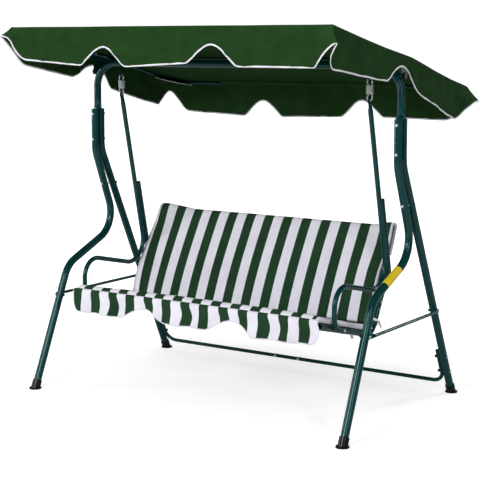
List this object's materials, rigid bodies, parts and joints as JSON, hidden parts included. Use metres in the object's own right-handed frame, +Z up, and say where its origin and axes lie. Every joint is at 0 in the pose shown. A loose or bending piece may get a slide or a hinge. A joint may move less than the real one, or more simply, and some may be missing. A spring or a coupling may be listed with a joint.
{
  "type": "canopy swing bench",
  "caption": "Three-seat garden swing bench: bent-tube stand, spring-hung seat with armrests and striped cushions, and a tilting canopy with a scalloped valance.",
  "frame": {"origin": "on the ground, in the middle of the object's footprint", "axes": "+Z up, +Y towards the back, +X to the right as seen from the front"},
  "size_m": [1.609, 1.192, 1.531],
  "materials": {
    "frame_paint": "glossy dark teal-green powder coat",
    "zinc_steel": "bright zinc plate",
    "black_plastic": "glossy black moulding",
    "canopy_cloth": "dark green woven polyester with white binding",
    "stripe_cloth": "dark green and white striped woven cloth",
    "white_cloth": "white cotton tape",
    "sling_cloth": "dark green coated mesh",
    "yellow_film": "plain yellow adhesive film"
  },
  "bodies": {
    "stand": {"brace_bolts": "zinc_steel", "brace_left": "frame_paint", "brace_nuts": "black_plastic", "brace_right": "frame_paint", "canopy_pivot_bosses": "frame_paint", "canopy_pivot_knob_left": "black_plastic", "canopy_pivot_knob_right": "black_plastic", "crossbar": "frame_paint", "crossbar_bolts": "zinc_steel", "crossbar_nuts": "black_plastic", "foot_cap_front_left": "black_plastic", "foot_cap_front_right": "black_plastic", "foot_cap_rear_left": "black_plastic", "foot_cap_rear_right": "black_plastic", "front_leg_left": "frame_paint", "front_leg_right": "frame_paint", "hanger_tab_left": "frame_paint", "hanger_tab_right": "frame_paint", "hoop_corner_left": "frame_paint", "hoop_corner_right": "frame_paint", "leg_band": "yellow_film", "leg_bolts": "zinc_steel", "leg_nuts": "black_plastic", "rear_bar_bolts": "zinc_steel", "rear_bar_joiner": "frame_paint", "rear_bar_left": "frame_paint", "rear_bar_nuts": "black_plastic", "rear_bar_right": "frame_paint", "rear_leg_left": "frame_paint", "rear_leg_right": "frame_paint"},
    "canopy": {"canopy_bracket_left": "frame_paint", "canopy_bracket_right": "frame_paint", "canopy_bracket_screws": "zinc_steel", "canopy_corner_elbows": "black_plastic", "canopy_cover": "canopy_cloth", "canopy_front_tube": "frame_paint", "canopy_middle_tube": "frame_paint", "canopy_rear_tube": "frame_paint", "canopy_side_tube_left": "frame_paint", "canopy_side_tube_right": "frame_paint"},
    "spring_link": {"spring_coil_left": "zinc_steel", "spring_coil_right": "zinc_steel", "spring_top_hook_left": "zinc_steel", "spring_top_hook_right": "zinc_steel"},
    "spring_end": {"spring_bottom_hook_left": "zinc_steel", "spring_bottom_hook_right": "zinc_steel"},
    "seat": {"back_frame": "frame_paint", "back_pad": "stripe_cloth", "cushion_ties": "white_cloth", "hanging_arm_left": "frame_paint", "hanging_arm_right": "frame_paint", "seat_bolts": "zinc_steel", "seat_front_rail": "frame_paint", "seat_pad": "stripe_cloth", "seat_rear_rail": "frame_paint", "seat_valance": "stripe_cloth", "side_frame_left": "frame_paint", "side_frame_right": "frame_paint", "support_sling": "sling_cloth", "upright_caps": "black_plastic"}
  },
  "joints": [
    {"name": "canopy_tilt", "type": "hinge", "parent": "stand", "child": "canopy", "pos_m": [0, -0.029, 1.34], "axis": [1, 0, 0], "range_deg": [-12, 25]},
    {"name": "seat_swing", "type": "hinge", "parent": "stand", "child": "spring_link", "pos_m": [0, -0.029, 1.3278], "axis": [1, 0, 0], "range_deg": [-20, 20]},
    {"name": "spring_stretch", "type": "slide", "parent": "spring_link", "child": "spring_end", "axis": [0, 0, -1], "range_m": [0, 0.025], "stiffness_N_per_m": 20000, "springref_m": -0.02, "deforming": ["spring_coil_left", "spring_coil_right"]},
    {"name": "seat_rock", "type": "hinge", "parent": "spring_end", "child": "seat", "pos_m": [0, -0.029, 1.2432], "axis": [1, 0, 0], "range_deg": [-8, 8]}
  ]
}
